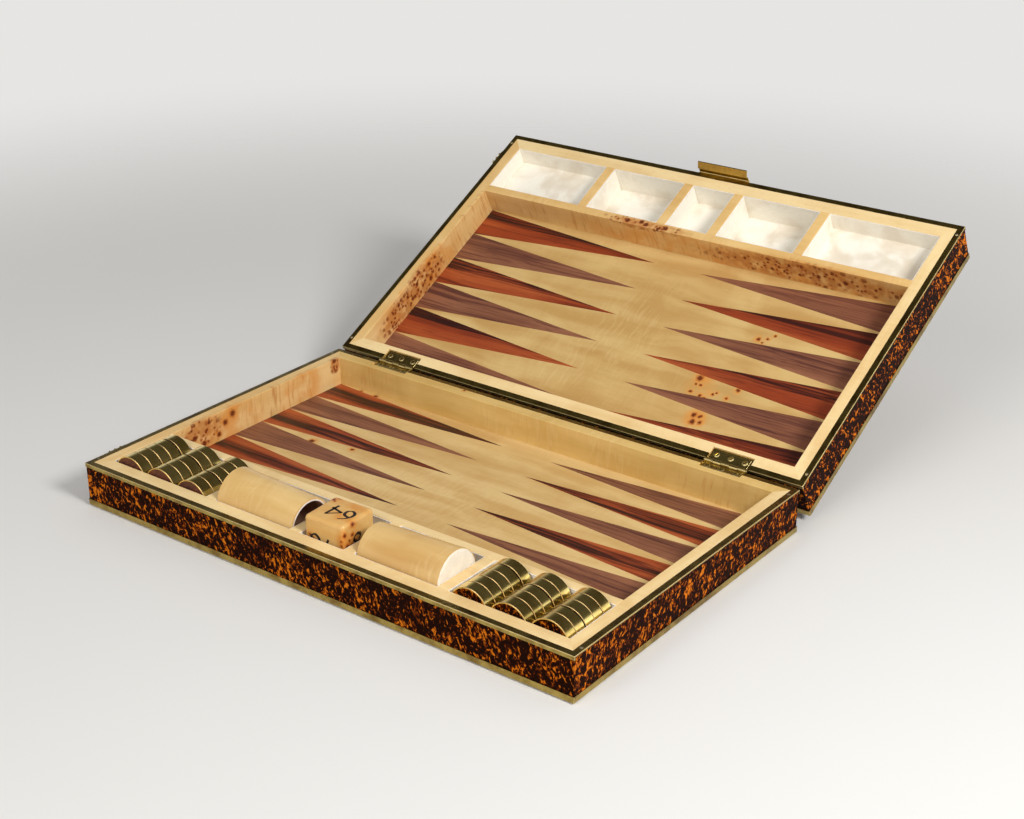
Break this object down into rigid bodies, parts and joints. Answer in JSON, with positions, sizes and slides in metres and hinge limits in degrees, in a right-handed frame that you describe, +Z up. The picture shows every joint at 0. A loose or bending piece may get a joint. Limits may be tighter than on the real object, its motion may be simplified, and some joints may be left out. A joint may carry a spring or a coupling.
{
  "type": "backgammon board",
  "caption": "Hinged backgammon case with inlaid field, brass edging, checkers, dice cups and doubling cube.",
  "frame": {"origin": "centre of the lower half's underside", "axes": "+X to the right along the hinge, +Y from the front face to the hinge, +Z up"},
  "size_m": [0.5382, 0.6581, 0.2125],
  "materials": {
    "maple": "satin maple veneer",
    "burl": "polished burl",
    "plywood": "plain plywood",
    "rosewood": "satin rosewood veneer",
    "walnut": "satin walnut veneer",
    "dark_wood": "satin dark wood",
    "tortoiseshell": "gloss tortoiseshell pattern",
    "brass": "aged, lightly brushed",
    "satin": "white satin lining",
    "brown_felt": "dark brown felt",
    "end_felt": "cream felt"
  },
  "bodies": {
    "base": {"base_bottom_board": "plywood", "base_edge_band": "brass", "base_field_board": "maple", "base_front_wall": "maple", "base_hinge_screws": "brass", "base_left_hinge_leaf": "brass", "base_left_wall": "maple", "base_points_rosewood": "rosewood", "base_points_walnut": "walnut", "base_rear_wall": "maple", "base_right_hinge_leaf": "brass", "base_right_wall": "maple", "base_rim_angle": "brass", "base_side_catch": "brass", "base_side_panels": "tortoiseshell", "base_tray_frame": "maple", "base_tray_linings": "satin", "base_underside_felt": "brown_felt", "hinge_pins": "brass"},
    "lid": {"clasp_bracket": "brass", "clasp_pin": "brass", "clasp_screws": "brass", "lid_bottom_board": "plywood", "lid_edge_band": "brass", "lid_field_board": "maple", "lid_front_wall": "maple", "lid_hinge_screws": "brass", "lid_left_hinge_leaf": "brass", "lid_left_wall": "maple", "lid_points_rosewood": "rosewood", "lid_points_walnut": "walnut", "lid_rear_wall": "maple", "lid_right_hinge_leaf": "brass", "lid_right_wall": "maple", "lid_rim_angle": "brass", "lid_side_catch": "brass", "lid_side_panels": "tortoiseshell", "lid_top_panel": "tortoiseshell", "lid_tray_frame": "maple", "lid_tray_linings": "satin"},
    "clasp": {"clasp_plate": "brass"},
    "doubling_cube": {"doubling_cube": "burl"},
    "left_checkers_1": {"left_checkers_1_bands": "brass", "left_checkers_1_faces": "dark_wood"},
    "left_checkers_2": {"left_checkers_2_bands": "brass", "left_checkers_2_faces": "dark_wood"},
    "left_checkers_3": {"left_checkers_3_bands": "brass", "left_checkers_3_faces": "dark_wood"},
    "left_cup": {"left_cup_end_disc": "end_felt", "left_cup_lining": "brown_felt", "left_cup_shell": "maple"},
    "right_checkers_1": {"right_checkers_1_bands": "brass", "right_checkers_1_faces": "tortoiseshell"},
    "right_checkers_2": {"right_checkers_2_bands": "brass", "right_checkers_2_faces": "tortoiseshell"},
    "right_checkers_3": {"right_checkers_3_bands": "brass", "right_checkers_3_faces": "tortoiseshell"},
    "right_cup": {"right_cup_end_disc": "end_felt", "right_cup_lining": "brown_felt", "right_cup_shell": "maple"}
  },
  "joints": [
    {"name": "lid_hinge", "type": "hinge", "parent": "base", "child": "lid", "pos_m": [0, 0.17057, 0.04205], "axis": [-1, 0, 0], "range_deg": [-152.2, 27.8]},
    {"name": "clasp_pivot", "type": "hinge", "parent": "lid", "child": "clasp", "pos_m": [0, 0.47344, 0.19976], "axis": [-1, 0, 0], "range_deg": [-7, 75]},
    {"name": "doubling_cube_lift", "type": "slide", "parent": "base", "child": "doubling_cube", "axis": [0, 0, 1], "range_m": [0, 0.07]},
    {"name": "left_checkers_1_lift", "type": "slide", "parent": "base", "child": "left_checkers_1", "axis": [0, 0, 1], "range_m": [0, 0.07]},
    {"name": "left_checkers_2_lift", "type": "slide", "parent": "base", "child": "left_checkers_2", "axis": [0, 0, 1], "range_m": [0, 0.07]},
    {"name": "left_checkers_3_lift", "type": "slide", "parent": "base", "child": "left_checkers_3", "axis": [0, 0, 1], "range_m": [0, 0.07]},
    {"name": "left_cup_lift", "type": "slide", "parent": "base", "child": "left_cup", "axis": [0, 0, 1], "range_m": [0, 0.07]},
    {"name": "right_checkers_1_lift", "type": "slide", "parent": "base", "child": "right_checkers_1", "axis": [0, 0, 1], "range_m": [0, 0.07]},
    {"name": "right_checkers_2_lift", "type": "slide", "parent": "base", "child": "right_checkers_2", "axis": [0, 0, 1], "range_m": [0, 0.07]},
    {"name": "right_checkers_3_lift", "type": "slide", "parent": "base", "child": "right_checkers_3", "axis": [0, 0, 1], "range_m": [0, 0.07]},
    {"name": "right_cup_lift", "type": "slide", "parent": "base", "child": "right_cup", "axis": [0, 0, 1], "range_m": [0, 0.07]}
  ]
}
